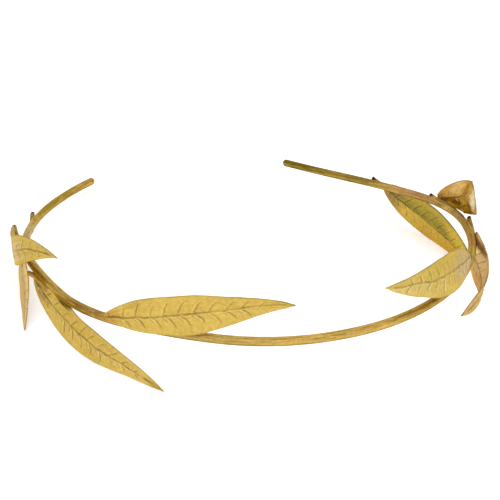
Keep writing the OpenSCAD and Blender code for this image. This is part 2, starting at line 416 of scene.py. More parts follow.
LEAVES = (
    LeafPlan(
        "leaf_left_front", Side.LEFT, place=0.317, seat=30, splay=0, twig=0.5, turn=40, long=0.99,
        wide=1.07, widest=0.47, fold=6, tint=YELLOW, soot=0.1, lip=0.5,
        bends=(Bend(0, -3, 11, 99), Bend(0.5, -14, 15, 104), Bend(1, -45, 0, 123)),
        cuts=(Cut(0, 1.1, 0.96), Cut(0.25, 1.12, 0.97), Cut(0.5, 1, 1.02), Cut(0.7, 1.07, 0.95),
              Cut(0.8, 1.2, 0.84), Cut(0.9, 1.5, 0.7), Cut(1, 2, 0.8))),
    LeafPlan(
        "leaf_left_hanging", Side.LEFT, place=0.539, seat=-63, splay=0, twig=0.9, turn=-30, long=1.01,
        wide=0.92, widest=0.4, fold=6, tint=WARM, rests=True, bare=0.0, soot=0.1, lip=0.5,
        bends=(Bend(0, -17, -34, 80), Bend(0.3, -16, -21, 84), Bend(0.5, -13, -5, 83),
               Bend(1, -61, -36, 88)),
        cuts=(Cut(0, 1, 1), Cut(0.2, 1.1, 0.93), Cut(0.3, 1.1, 0.93), Cut(0.4, 0.95, 0.92),
              Cut(0.6, 0.93, 0.95), Cut(0.8, 0.9, 0.82), Cut(0.9, 1, 0.88), Cut(1, 1.2, 1.1))),
    LeafPlan(
        "leaf_left_side", Side.LEFT, place=0.697, seat=37, splay=0.25, twig=0.2, turn=37, long=1,
        wide=0.88, widest=0.43, fold=6, tint=SIDE, soot=0.2,
        bends=(Bend(0, -9, 10, 81), Bend(0.5, -7, 5, 95), Bend(0.6, -29, 22, 87), Bend(1, -44, -1, 88)),
        cuts=(Cut(0.1, 0.5, 0.8), Cut(0.3, 0.72, 0.9), Cut(0.5, 0.78, 0.92), Cut(0.65, 1, 1),
              Cut(0.9, 1.2, 0.87), Cut(1, 1.3, 0.8))),
    LeafPlan(
        "leaf_left_rear", Side.LEFT, place=0.751, seat=-77, splay=0, twig=2.6, turn=10, long=0.87,
        wide=0.81, widest=0.48, fold=6, tint=PINKISH, rests=True, nub=1.5,
        bends=(Bend(0, 2, -16, 59), Bend(0.5, -17, -10, 75), Bend(1, -7, -26, 65)),
        cuts=(Cut(0.3, 1, 1.06), Cut(0.45, 0.92, 0.9), Cut(0.6, 1, 0.96), Cut(1, 1.1, 1.1))),
    LeafPlan(
        "leaf_right_front", Side.RIGHT, place=0.376, seat=82, splay=0, twig=0.1, turn=90, long=1.1,
        wide=0.96, widest=0.46, fold=6, tint=PALE_GREEN, soot=0.15, lip=0.9,
        bends=(Bend(0, -2, 11, 70), Bend(0.5, -8, 10, 78), Bend(1, -36, 11, 99)),
        cuts=(Cut(0, 1, 1), Cut(0.4, 1, 1.06), Cut(0.6, 1.03, 1.05), Cut(0.75, 1.05, 0.94),
              Cut(0.9, 1.08, 1.08), Cut(1, 1.2, 1.3))),
    LeafPlan(
        "leaf_right_outer", Side.RIGHT, place=0.519, seat=-40, splay=0, twig=2.1, turn=70, long=0.85,
        wide=0.98, widest=0.34, fold=6, tint=ROSE_BROWN, bare=0.05,
        bends=(Bend(0, -15, -5, 105), Bend(0.4, 8, -18, 103), Bend(0.7, -24, -5, 102),
               Bend(1, -36, -5, 89)),
        cuts=(Cut(0.1, 0.88, 1), Cut(0.3, 1.05, 0.95), Cut(0.5, 0.95, 1), Cut(0.7, 1, 0.97),
              Cut(0.9, 1.2, 1.15), Cut(1, 1.3, 1.3))),
    LeafPlan(
        "leaf_right_folded", Side.RIGHT, place=0.679, seat=5, splay=0, twig=0.4, turn=-40, long=0.88,
        wide=0.95, widest=0.38, fold=12, tint=FOLDED_LIT_AND_SHADED, nub=1.0, lean=90,
        bends=(Bend(0, 8, 20, 78), Bend(0.46, -44, 18, 101), Bend(0.53, -35, 10, 97),
               Bend(1, -38, 2, 91)),
        cuts=(Cut(0.6, 1, 1.02), Cut(0.8, 0.9, 1), Cut(0.9, 1, 1.1), Cut(1, 1.2, 1.2))),
    LeafPlan(
        "leaf_right_hanging", Side.RIGHT, place=0.793, seat=-20, splay=0, twig=0.6, turn=90, long=0.9,
        wide=1.03, widest=0.38, fold=6, tint=OLIVE, rests=True, nub=1.6,
        bends=(Bend(0, -4, -24, 95), Bend(0.4, -10, -17, 88), Bend(1, -30, -17, 89)),
        cuts=(Cut(0, 0.95, 0.9), Cut(0.2, 0.92, 1), Cut(0.4, 1, 1.03), Cut(0.6, 1.08, 1.05),
              Cut(1, 1.2, 1.2))),
)

# Gold as it is at a grazing angle, where plain metal would turn white
EDGE_GOLD = "#EFDCAC"
# The rod and the twigs, the painted shade on the rod's underside, and the dark of a twig's cut end
ROD_GOLD = "#C2A258"
ROD_BROWN = "#8A6A2C"
ROD_PAINTED_SHADE = "#7E5E24"
TWIG_GOLD = "#BE9C52"
TWIG_BROWN = "#947238"
CUT_BROWN = "#241404"
ROD_STAINS = (
    Stain("#D2AC58", 0.05, 0.4, 0.12, 3.0, 0.6),
    Stain("#8A641E", 0.2, 0.1, 0.06, 3.0, 0.4),
    Stain("#C8AC70", 0.36, 0.3, 0.05, 3.0, 0.6),
    Stain("#A8744E", 0.46, 0.5, 0.03, 3.0, 0.6),
    Stain("#9E8254", 0.58, 0.5, 0.06, 3.0, 0.7),
    Stain("#B07C58", 0.715, 0.6, 0.045, 3.0, 0.75),
    Stain("#8A7026", 0.87, 0.6, 0.09, 3.0, 0.8),
    Stain("#6E6018", 0.97, 0.6, 0.05, 3.0, 0.8),
    Stain("#C4B08A", -0.68, 0.3, 0.07, 3.0, 0.85),
    Stain("#A58C34", -0.86, 0.6, 0.06, 3.0, 0.6),
    Stain("#B4803E", -0.97, 0.6, 0.03, 3.0, 0.35),
    Stain("#8A5206", -0.6, 0.05, 0.06, 0.35, 1.0),
    Stain("#7A4C0A", -0.52, -0.05, 0.05, 0.35, 0.9),
    Stain("#7A520A", -0.4, -0.1, 0.05, 0.28, 0.85),
    Stain("#8E6630", -0.36, 0.1, 0.04, 3.0, 0.5),
)


@dataclass(frozen=True)
class Tracing:
    """How the chasing tool leaves one kind of vein. Distances are shares of the vein's width."""

    groove: float  # half width of the groove
    lip: float  # half width of the raised lip beside it
    lip_off: float  # from the groove's middle to the lip's, towards the tip or the lower rim
    lip_h: float  # height of the lip, in millimetres
    painted_sheen: float  # how bright the lip's painted highlight is
    ends: tuple[float, float] = (1.0, 1.0)  # shares of the half width between which it runs out


# Each lip is painted bright as a highlight, most strongly on the lower half's veins
MIDDLE_VEIN = Tracing(groove=0.17, lip=0.22, lip_off=0.45, lip_h=0.16, painted_sheen=0.6)
UPPER_VEINS = Tracing(groove=0.2, lip=0.34, lip_off=-0.6, lip_h=0.08, painted_sheen=0.3, ends=(0.7, 0.95))
LOWER_VEINS = Tracing(groove=0.26, lip=0.34, lip_off=-0.6, lip_h=0.26, painted_sheen=1.0, ends=(0.6, 0.85))
# Half width of the dirt in the middle groove, and how dark the side grooves and their twins are
MIDDLE_DIRT_W = 0.24
SIDE_DIRT = 0.75
TWIN_DIRT = 0.45
# A finer twin runs behind each lower side vein: its place, half width and depth beside the vein's own
TWIN_OFF = 1.5
TWIN_W = 0.22
TWIN_DEPTH = 0.4
# Side veins slant forwards: so many millimetres for each one outwards, and more towards the tip
SLANT = 0.2
SLANT_MORE = 0.45
# Upper ones slant more than that and curve a little. Lower ones first bow forwards by BOW within
# about BOW_REACH of the middle line, then go on at a share of the slant
UPPER_SLANT = 0.2
UPPER_CURVE = 0.06
BOW = 2.0
BOW_REACH = 1.1
LOWER_SHARE = 0.6
# The hand's unevenness: how far a vein strays along the leaf, how far from the middle line it starts
# on either half, and its weakest and strongest stroke
VEIN_STRAY = 0.35
UPPER_INNER = (0.0, 0.35)
LOWER_INNER = 0.1
STROKE = (0.6, 1.0)
# The middle groove wanders from the middle line as a hand-held tool does, and is worn unevenly
VEIN_WANDER = (Ripple(0.2, 2.2), Ripple(0.2, 9.0), Ripple(0.09, 0.8))
VEIN_WEAR = Ripple(0.25, 1.6)
SIDE_WANDER = Ripple(0.15, 3.0)


@dataclass(frozen=True)
class Spots:
    """Places on a leaf, from the root to the tip and from -1 at the upper rim to 1 at the lower."""

    shares: np.ndarray
    across: np.ndarray
    along: np.ndarray  # the shares of the length in millimetres
    width: np.ndarray  # the leaf's half width there

    @property
    def aside(self) -> np.ndarray:
        """Distances from the middle line in millimetres, negative on the upper half."""
        return self.across * self.width


@dataclass
class Chasing:
    """Relief of a leaf's face: height in millimetres, and shares of dirt and of painted highlight."""

    height: np.ndarray
    dirt: np.ndarray
    painted_sheen: np.ndarray


@dataclass
class Leaf:
    """A laurel leaf of thin sheet, chased with a middle vein and curving side veins."""

    plan: LeafPlan
    leaf_l: float = 60.0
    leaf_w: float = 12.0
    sheet_t: float = 0.7
    rim_thinning: float = 0.4  # share of the sheet that is gone at the rim
    point_r: float = 0.3  # half the width at the tip
    steps: int = 40
    first_rows: tuple[float, ...] = (0.0, 0.025)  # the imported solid's rows before and after its veins
    last_rows: tuple[float, ...] = (0.93, 0.97, 1.0)
    vein_count: int = 11
    first_vein: float = 0.08
    last_vein: float = 0.86
    vein_depth: float = 0.25
    vein_w: float = 0.8
    vein_angle: float = 60.0
    rib_depth: float = 0.35
    rib_w: float = 1.0
    half_across: float = 0.55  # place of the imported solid's column in each half
    point_l: float = 2.6  # length of the rounded point
    point_left: float = 0.03  # square of the width's share that is left at the very tip
    rim_bulge: float = 0.14  # how far the rim's rounding stands out
    wave: Ripple = Ripple(0.18, 11.0)
    hammered: Ripple = Ripple(0.07, 4.5)
    sheared: Ripple = Ripple(0.018, 7.0)
    # Shares of the lips' painted highlight and of the grooves' dirt in the colour
    painted_sheen_share: float = 0.7
    dirt_share: float = 0.8
    # How much darker brown the rims are
    rim_darkening: float = 0.5
    rows: int = 300
    columns: int = 64
    row_spread: float = 0.92  # power under 1, which sets the rows closer towards the tip
    column_spread: float = 0.94  # share of a sine's rise, which sets the columns closer at the rims

    @property
    def arm(self) -> Arm:
        """The arm that carries the leaf."""
        return ARMS[self.plan.side]

    @property
    def length(self) -> float:
        """Length of the leaf along its middle line."""
        return self.plan.long * self.leaf_l

    @property
    def seed(self) -> int:
        """A number that makes the leaf's small unevenness its own."""
        return sum(ord(letter) for letter in self.plan.name)

    @property
    def gap(self) -> float:
        """Gap that the root leaves to its seat on the rod."""
        return self.plan.splay * self.leaf_w

    def beside_rod(self, back: float, gap: float) -> np.ndarray:
        """Place beside the rod, on the line that the stem follows.

        Args:
            back: Distance backwards from the leaf's root.
            gap: Distance from the seat's surface.

        Returns:
            The point.
        """
        share = self.plan.place + back / self.arm.length
        return self.arm.point(share) + (SEAT_R + gap) * self.arm.round_rod(share, self.plan.seat)

    def axes(self, shares: np.ndarray) -> tuple[np.ndarray, np.ndarray, np.ndarray]:
        """Directions along, across and square to the leaf's face.

        Args:
            shares: Shares of the leaf's length.

        Returns:
            The three directions, one row for each share.
        """
        bends = self.plan.bends
        stations = [bend.share for bend in bends]
        swing, rise, roll = (
            radians(np.interp(shares, stations, [getattr(bend, turn) for bend in bends]))[:, None]
            for turn in ("swing", "rise", "roll"))
        turned = self.arm.turn(self.plan.place)
        fore = -self.arm.ahead(turned)
        out = self.arm.out(turned)
        level = np.cos(swing) * fore + np.sin(swing) * out
        beside = np.cos(swing) * out - np.sin(swing) * fore
        top = np.cos(rise) * UP - np.sin(rise) * level
        along = np.cos(rise) * level + np.sin(rise) * UP
        sideways = np.cos(roll) * beside - np.sin(roll) * top
        square = np.cos(roll) * top + np.sin(roll) * beside
        return along, sideways, square

    def middle(self) -> np.ndarray:
        """Middle line of the leaf, from its root to its tip.

        Returns:
            Points at the ends of its equal steps.
        """
        halfway = (np.arange(self.steps) + 0.5) / self.steps
        moves = self.length / self.steps * self.axes(halfway)[0]
        root = self.beside_rod(0.0, self.gap + BLADE_LIFT)
        return root + walk(moves)

    def half_width(self, shares: np.ndarray) -> np.ndarray:
        """Half width of the leaf: it swells to its widest place and tapers to the point.

        Args:
            shares: Shares of the leaf's length.

        Returns:
            The half widths there.
        """
        widest = self.plan.widest
        s = np.clip(shares, 0.0, 1.0)
        swell = (s / widest) ** (widest / (1 - widest)) * (1 - s) / (1 - widest)
        return np.maximum(self.point_r, self.plan.wide * self.leaf_w / 2 * swell)

    def points(self, shares: np.ndarray, across: np.ndarray, heights: np.ndarray) -> np.ndarray:
        """Points on or beside the folded middle sheet of the leaf.

        Args:
            shares: Shares of the leaf's length.
            across: Places across it, from -1 at one rim to 1 at the other.
            heights: Distances from the middle sheet, towards the chased face.

        Returns:
            The points.
        """
        base = read_line(shares, np.linspace(0.0, 1.0, self.steps + 1), self.middle())
        width = self.half_width(shares)
        _, sideways, square = self.axes(shares)
        fold = radians(self.plan.fold)
        lift = np.abs(across) * width * math.sin(fold) + heights
        return base + (across * width * math.cos(fold))[:, None] * sideways + lift[:, None] * square

    def thickness(self, shares: np.ndarray | float, across: np.ndarray | float) -> np.ndarray:
        """Thickness of the sheet, which thins towards its rims and its tip."""
        return self.sheet_t * (1 - self.rim_thinning * np.maximum(across**4, shares**12))

    def rest_points(self) -> np.ndarray:
        """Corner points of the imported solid's leaf, on which the wreath's rest is worked out.

        Returns:
            The points, on both faces of every row.
        """
        side = self.plan.side.value
        half_vein = self.vein_w / 2 / self.length
        pitch = (self.last_vein - self.first_vein) / (self.vein_count - 1)
        rows = [(row, 0.0) for row in self.first_rows]
        for vein in range(self.vein_count):
            middle = self.first_vein + vein * pitch
            rows += [(middle - half_vein, 0.0), (middle, 1.0), (middle + half_vein, 0.0)]
        rows += [(row, 0.0) for row in self.last_rows]
        shares, across, heights = [], [], []
        for row, deep in rows:
            width = float(self.half_width(np.array([row]))[0])
            rib = min(self.rib_w / 2 / width, self.half_across / 2)
            chased = [-1, -self.half_across, -rib, 0, rib, self.half_across, 1]
            back = [1, self.half_across, 0, -self.half_across, -1]
            for face, places in ((1, chased), (-1, back)):
                for t in places:
                    lead = abs(t) * width / math.tan(radians(self.vein_angle)) / self.length
                    share = min(row + lead * (1 - row), 1.0)
                    thick = self.thickness(share, t)
                    depth = self.rib_depth if t == 0 else (deep * self.vein_depth if abs(t) < 1 else 0.0)
                    wide = float(self.half_width(np.array([share]))[0]) > 2 * self.point_r
                    shares.append(share)
                    across.append(side * t)
                    heights.append(face * thick / 2 - (depth if wide else 0.0))
        return self.points(np.array(shares), np.array(across), np.array(heights))

    def cut(self, shares: np.ndarray, across: np.ndarray | float) -> np.ndarray:
        """How wide the hand-cut leaf is, as a share of its drawn width.

        Args:
            shares: Shares of the leaf's length.
            across: Places across it, negative on the upper half.

        Returns:
            The shares of the drawn width.
        """
        stations = [cut.share for cut in self.plan.cuts]
        upper = np.interp(shares, stations, [cut.upper for cut in self.plan.cuts])
        lower = np.interp(shares, stations, [cut.lower for cut in self.plan.cuts])
        return np.where(np.asarray(across) < 0, upper, lower)

    def middle_vein(self, spots: Spots) -> Chasing:
        """Works out the middle vein: a wandering groove with one lip in painted highlight, faint where the
        leaf is narrow.

        Args:
            spots: Places on the leaf.

        Returns:
            The relief at each place.
        """
        wander = sum(ripple.at(spots.along, self.seed + k) for k, ripple in enumerate(VEIN_WANDER))
        skewed = 0.4 * (self.cut(spots.shares, 1.0) - self.cut(spots.shares, -1.0))
        skewed = skewed * step_up(spots.shares, 0.6, 0.8)
        away = spots.aside - wander * step_up(spots.width, 1.0, 3.0) - skewed * spots.width
        wear_and_sheen = 0.6 + VEIN_WEAR.at(spots.along, self.seed + 4)
        fade = step_up(spots.width, 2 * self.point_r, 1.6) * wear_and_sheen
        groove = hump(away, MIDDLE_VEIN.groove * self.rib_w) * fade
        lip = hump(away - MIDDLE_VEIN.lip_off * self.rib_w, MIDDLE_VEIN.lip * self.rib_w) * fade
        dirt = hump(away, MIDDLE_DIRT_W * self.rib_w) * fade
        return Chasing(-self.rib_depth * groove + MIDDLE_VEIN.lip_h * lip, dirt, MIDDLE_VEIN.painted_sheen * lip)

    def add_side_vein(self, relief: Chasing, spots: Spots, vein: int, upper: bool,
                      random: np.random.Generator) -> None:
        """Chases one side vein: nearly straight on the upper half, bent like a bow on the lower.

        Args:
            relief: The relief so far, which takes the vein up.
            spots: Places on the leaf.
            vein: The vein's number, from the root.
            upper: Whether it lies on the upper half.
            random: Gives the vein's own unevenness.
        """
        tracing = UPPER_VEINS if upper else LOWER_VEINS
        pitch = (self.last_vein - self.first_vein) / (self.vein_count - 1)
        start = (self.first_vein + (vein - 0.4) * pitch) * self.length
        slant = SLANT + SLANT_MORE * vein / self.vein_count
        reach, rimward = np.abs(spots.aside), np.abs(spots.across)
        begin = start + random.uniform(-VEIN_STRAY, VEIN_STRAY)
        until = random.uniform(*tracing.ends)
        if upper:
            run = (slant + UPPER_SLANT) * reach + UPPER_CURVE * reach**2
            inner = random.uniform(*UPPER_INNER)
        else:
            run = BOW * (1 - np.exp(-reach / BOW_REACH)) + LOWER_SHARE * slant * reach
            inner = LOWER_INNER
            until = until * max(1.0, self.plan.lip + 0.2)
        away = spots.along - begin - run + SIDE_WANDER.at(reach * 3, self.seed + vein)
        away = away * math.sin(radians(self.vein_angle))
        ends = step_up(reach, inner, inner + 0.4) * (1 - step_up(rimward, until - 0.25, until))
        ends = ends * ((spots.across < 0) == upper) * step_up(spots.width, 0.9, 1.8)
        ends = ends * random.uniform(*STROKE)
        cut = hump(away, tracing.groove * self.vein_w) * ends
        lip = hump(away - tracing.lip_off * self.vein_w, tracing.lip * self.vein_w) * ends
        twin = np.zeros(len(cut))
        if not upper:
            lip = lip * (1 - step_up(rimward, self.plan.lip - 0.3, self.plan.lip))
            twin = hump(away + TWIN_OFF * self.vein_w, TWIN_W * self.vein_w) * ends
            twin = twin * (1 - step_up(rimward, 0.2, 0.45)) * step_up(spots.width, 2.0, 4.0)
        relief.height += tracing.lip_h * lip - self.vein_depth * (cut + TWIN_DEPTH * twin)
        relief.dirt = np.maximum(relief.dirt, np.maximum(cut * SIDE_DIRT, twin * TWIN_DIRT))
        relief.painted_sheen = np.maximum(relief.painted_sheen, lip * tracing.painted_sheen)

    def chasing(self, spots: Spots) -> Chasing:
        """Works out the chased relief, where dirt gathers in it, and where its lips get a painted highlight.

        Args:
            spots: Places on the leaf.

        Returns:
            The relief at each place.
        """
        relief = self.middle_vein(spots)
        random = np.random.default_rng(self.seed)
        for vein in range(self.vein_count):
            for upper in (True, False):
                self.add_side_vein(relief, spots, vein, upper, random)
        return relief

    def paint(self, spots: Spots, relief: Chasing, face: np.ndarray) -> np.ndarray:
        """Colours the gilding: two tones beside the middle vein, stains (some of them painted light and
        shade), dirt in grooves, lips in painted highlight, darker rims.

        Args:
            spots: Places on the leaf.
            relief: The chased relief there.
            face: 1 on the chased face, 0 on the rim and -1 on the back.

        Returns:
            Linear colours, one row for each place.
        """
        tint = self.plan.tint
        along, across = spots.along, spots.across
        ragged = smooth_noise(along + 60 * across, self.seed + 20, 3.0)
        ragged = ragged + 0.6 * smooth_noise(along * 1.7 - 90 * across, self.seed + 21, 2.2)
        colour = blend(rgb(tint.upper), rgb(tint.lower), step_up(across, -0.25, 0.2))
        for stain in tint.stains:
            colour = blend(colour, rgb(stain.colour), stain.weight(spots.shares, across, ragged))
        # Painted highlight on the chased lips
        colour = blend(colour, rgb(tint.wear_and_sheen), self.painted_sheen_share * relief.painted_sheen)
        colour = blend(colour, rgb(tint.groove), self.dirt_share * relief.dirt)
        # Darker brown towards the rims
        rim = self.rim_darkening * step_up(np.abs(across), 0.93, 1.0) * (0.6 + 0.4 * ragged)
        colour = blend(colour, rgb(tint.groove), rim)
        return blend(colour, rgb(tint.back), tint.back_share * (face < 0))

    def build(self, stance: "Stance") -> bpy.types.Object:
        """Makes the leaf's mesh, with its attributes for the finish.

        Args:
            stance: Turn and place of the resting wreath.

        Returns:
            The leaf's object.
        """
        bare = self.plan.bare
        shares = bare + (1 - bare) * np.linspace(0.0, 1.0, self.rows + 1) ** self.row_spread
        places = np.sin(np.linspace(-1.0, 1.0, self.columns + 1) * math.pi / 2 * self.column_spread)
        places = places / places[-1]
        rim = np.array([1.0])
        loop_t = np.concatenate([places, rim, places[::-1], -rim])
        loop_face = np.concatenate([np.ones(len(places)), [0.0], -np.ones(len(places)), [0.0]])
        share = np.repeat(shares, len(loop_t))
        t = np.tile(loop_t, len(shares))
        face = np.tile(loop_face, len(shares))
        along = share * self.length
        spots = Spots(share, t, along, self.half_width(share))
        relief = self.chasing(spots)
        wave = self.wave.at(along + 90 * np.sign(t), self.seed + 5) * np.abs(t) ** 2
        hammered = self.hammered.at(along + 37 * t, self.seed + 9) * (1 - t**2)
        # The sheet is even near the root and the tip, and its rim isn't chased
        calm = step_up(share, 0.0, 0.08) * (1 - step_up(share, 0.8, 0.95))
        chased = np.where(np.abs(t) > 0.999, 0.0, relief.height)
        lift = chased + (wave + hammered) * calm + face * self.thickness(share, t) / 2
        wobble = 1 + self.sheared.at(along + 55 * np.sign(t), self.seed + 3) * np.abs(t) ** 3 * calm
        bulge = np.where(face == 0, self.rim_bulge / spots.width, 0.0)
        point = np.clip((along - self.length + self.point_l) / self.point_l, 0.0, 1.0)
        rounded = np.sqrt(np.maximum(1 - point**2, self.point_left)) * self.cut(share, t)
        points = self.points(share, t * wobble * (1 + bulge * calm) * rounded, lift)
        skin = Skin(points, len(shares), len(loop_t))
        return skin.build(self.plan.name, stance, {
            "dirt": relief.dirt,
            "paint": self.paint(spots, relief, face),
        })


# The smallest rings of a stem, closed by flat caps, in the middle of its cut face and of its foot
FACE_POLE_R = 0.02
FOOT_POLE_R = 0.05


@dataclass
class Stem:
    """A short round twig, soldered along the rod under a leaf's root, with a blunt cut end."""

    leaf: Leaf
    stem_l: float = 11.0
    twig_l: float = 5.0
    twig_turn: float = 12.0
    nub_rise: float = 0.8
    cut_r: float = 0.45
    root_r: float = 0.5
    middle_r: float = 0.45
    foot_r: float = 0.3
    uneven: Ripple = Ripple(0.05, 2.5)
    slope: float = 0.35  # how far the cut face leans, in radii
    face_out: tuple[float, float] = (0.13, 0.1)  # the face's middle and its bevel past the end, in radii
    bevel_r: float = 0.88  # the face inside its bevel, as a share of the end
    foot_out: tuple[float, float] = (0.7, 1.0)  # two rings that round the foot off, in radii
    foot_end_r: float = 0.7
    dark_from: float = 1.2  # distance at which the cut end's dark starts to fade
    dark_to: float = 3.0
    facets: int = 20
    rows: int = 60

    def marks(self) -> tuple[np.ndarray, np.ndarray]:
        """Marks on the stem's middle line, from the cut end to the foot, and its radius at each.

        Returns:
            The four marks and the four radii.
        """
        plan = self.leaf.plan
        arm = self.leaf.arm
        gap = self.leaf.gap
        back = plan.twig * self.twig_l
        sunk = (self.foot_r - self.root_r) * STEM_D
        aside = back * math.tan(radians(self.twig_turn)) * arm.round_rod(plan.place, plan.turn)
        raised = self.nub_rise * plan.nub * arm.round_rod(plan.place, plan.turn + plan.lean)
        cut = self.leaf.beside_rod(back + plan.nub, gap) + aside + raised
        root = self.leaf.beside_rod(0.0, gap)
        middle = self.leaf.beside_rod(-self.stem_l / 2, (gap + sunk) / 2)
        foot = self.leaf.beside_rod(-self.stem_l, sunk)
        radii = STEM_D * np.array([self.cut_r, self.root_r, self.middle_r, self.foot_r])
        return np.array([cut, root, middle, foot]), radii

    def build(self, stance: "Stance") -> bpy.types.Object:
        """Makes the stem's mesh: a tapered twig with a bevelled cut end.

        Args:
            stance: Turn and place of the resting wreath.

        Returns:
            The stem's object.
        """
        marks, radii = self.marks()
        lengths = run_lengths(marks)
        along = np.linspace(0.0, lengths[-1], self.rows + 1)
        line = read_line(along, lengths, marks)
        radius = np.interp(along, lengths, radii)
        radius = radius * (1 + self.uneven.at(along, self.leaf.seed + 40))
        start = unit(line[1] - line[0])
        end = unit(line[-1] - line[-2])
        slope = self.slope * radii[0]
        line = np.concatenate([line[0] - radii[0] * np.outer(self.face_out, start), line,
                               line[-1] + radii[-1] * np.outer(self.foot_out, end)])
        radius = np.concatenate([[FACE_POLE_R, self.bevel_r * radius[0]], radius,
                                 [self.foot_end_r * radius[-1], FOOT_POLE_R]])
        rings = Rings(line, radius, self.facets)
        points, angles = rings.points()
        tilt = slope * np.cos(angles) * (np.arange(len(angles)) < 3 * self.facets)
        tilt = tilt * np.repeat(radius, self.facets) / radius.max()
        points = points + tilt[:, None] * start
        skin = Skin(points, len(line), self.facets)
        run = np.repeat(np.arange(len(line)) * lengths[-1] / len(line), self.facets)
        ragged = smooth_noise(run * 2 + 9 * angles, self.leaf.seed + 41, 2.0)
        cut = 1 - step_up(run + 0.5 * ragged, self.dark_from, self.dark_to)
        colour = blend(rgb(TWIG_GOLD), rgb(TWIG_BROWN), 0.35 + 0.35 * ragged)
        name = self.leaf.plan.name.replace("leaf", "stem")
        return skin.build(name, stance, {
            "along": run,
            "across": angles,
            "dirt": cut,
            "paint": blend(colour, rgb(CUT_BROWN), self.leaf.plan.soot * cut),
        })


@dataclass
class Rings:
    """Round sections along a middle line."""

    line: np.ndarray
    radius: np.ndarray
    facets: int

    def points(self) -> tuple[np.ndarray, np.ndarray]:
        """Points round every section, and their angles in radians.

        Returns:
            The points and the angles, section by section.
        """
        ahead = np.gradient(self.line, axis=0)
        lengths = np.linalg.norm(ahead, axis=1)
        lengths[lengths < 1e-6] = 1.0
        ahead = ahead / lengths[:, None]
        beside = np.cross(ahead, UP)
        beside = beside / np.linalg.norm(beside, axis=1)[:, None]
        above = np.cross(beside, ahead)
        angles = np.arange(self.facets) * 2 * math.pi / self.facets
        ring = np.cos(angles)[None, :, None] * beside[:, None, :]
        ring = ring + np.sin(angles)[None, :, None] * above[:, None, :]
        radius = self.radius if self.radius.ndim == 2 else self.radius[:, None]
        points = self.line[:, None, :] + radius[:, :, None] * ring
        return points.reshape(-1, 3), np.tile(angles, len(self.line))


@dataclass
class Skin:
    """A closed skin over rows of points that all have as many points."""

    points: np.ndarray
    rows: int
    sides: int

    def build(self, name: str, stance: "Stance", marks: dict[str, np.ndarray]) -> bpy.types.Object:
        """Makes the mesh object, smooth shaded, in the resting wreath's place.

        Args:
            name: The piece's name.
            stance: Turn and place of the resting wreath.
            marks: Numbers or colours for each point, kept as attributes that the finish reads.

        Returns:
            The object.
        """
        row = np.arange(self.rows - 1)[:, None] * self.sides
        index = np.arange(self.sides)[None, :]
        near, far = row + index, row + (index + 1) % self.sides
        walls = np.stack([near, far, far + self.sides, near + self.sides], axis=-1)
        faces = walls.reshape(-1, 4).tolist()
        last = (self.rows - 1) * self.sides
        faces.append(list(range(self.sides))[::-1])
        faces.append([last + side for side in range(self.sides)])
        mesh = bpy.data.meshes.new(name)
        mesh.from_pydata((stance.within(self.points) * MM).tolist(), [], faces)
        mesh.validate()
        for mark, values in marks.items():
            values = np.asarray(values, dtype=np.float32)
            if values.ndim == 2:
                attribute = mesh.attributes.new(mark, "FLOAT_COLOR", "POINT")
                opaque = np.concatenate([values, np.ones((len(values), 1), dtype=np.float32)], axis=1)
                attribute.data.foreach_set("color", opaque.ravel())
            else:
                attribute = mesh.attributes.new(mark, "FLOAT", "POINT")
                attribute.data.foreach_set("value", values)
        mesh.shade_smooth()
        if mesh_volume(mesh) < 0:
            mesh.flip_normals()
        return put_in_scene(name, mesh)


def mesh_volume(mesh: bpy.types.Mesh) -> float:
    """Volume that a closed mesh holds, negative where it is inside out.

    Args:
        mesh: A mesh without holes.

    Returns:
        The volume in cubic metres.
    """
    mesh.calc_loop_triangles()
    corners = np.array([vertex.co for vertex in mesh.vertices])
    triangles = np.array([triangle.vertices for triangle in mesh.loop_triangles])
    a, b, c = corners[triangles[:, 0]], corners[triangles[:, 1]], corners[triangles[:, 2]]
    return float((np.cross(a, b) * c).sum() / 6)


